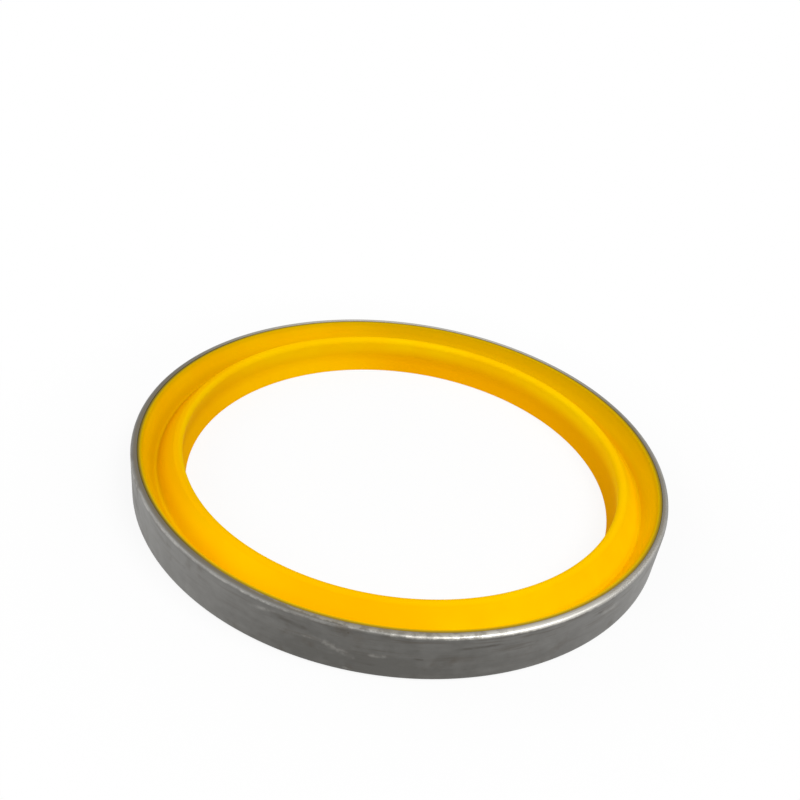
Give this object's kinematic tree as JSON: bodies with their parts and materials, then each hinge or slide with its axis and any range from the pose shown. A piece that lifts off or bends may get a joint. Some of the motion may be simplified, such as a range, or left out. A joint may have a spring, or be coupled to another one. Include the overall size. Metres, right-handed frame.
{
  "type": "hydraulic wiper seal",
  "caption": "Round metal-cased wiper seal: a pressed steel case with a bonded yellow polyurethane ring that has a V-groove, an upper lip and a lower lip round an open bore.",
  "frame": {"origin": "on the seal's axis, level with the underside of the case's flange", "axes": "+Z along the seal's axis, from the flange towards the open rim of the case and the upper lip"},
  "size_m": [0.09, 0.09, 0.008],
  "materials": {
    "case_steel": "dull grey pressed steel with light scratches and stains",
    "wiper_polyurethane": "satin amber yellow moulded polyurethane"
  },
  "bodies": {
    "root": {"steel_case": "case_steel", "polyurethane_wiper": "wiper_polyurethane"}
  },
  "joints": []
}
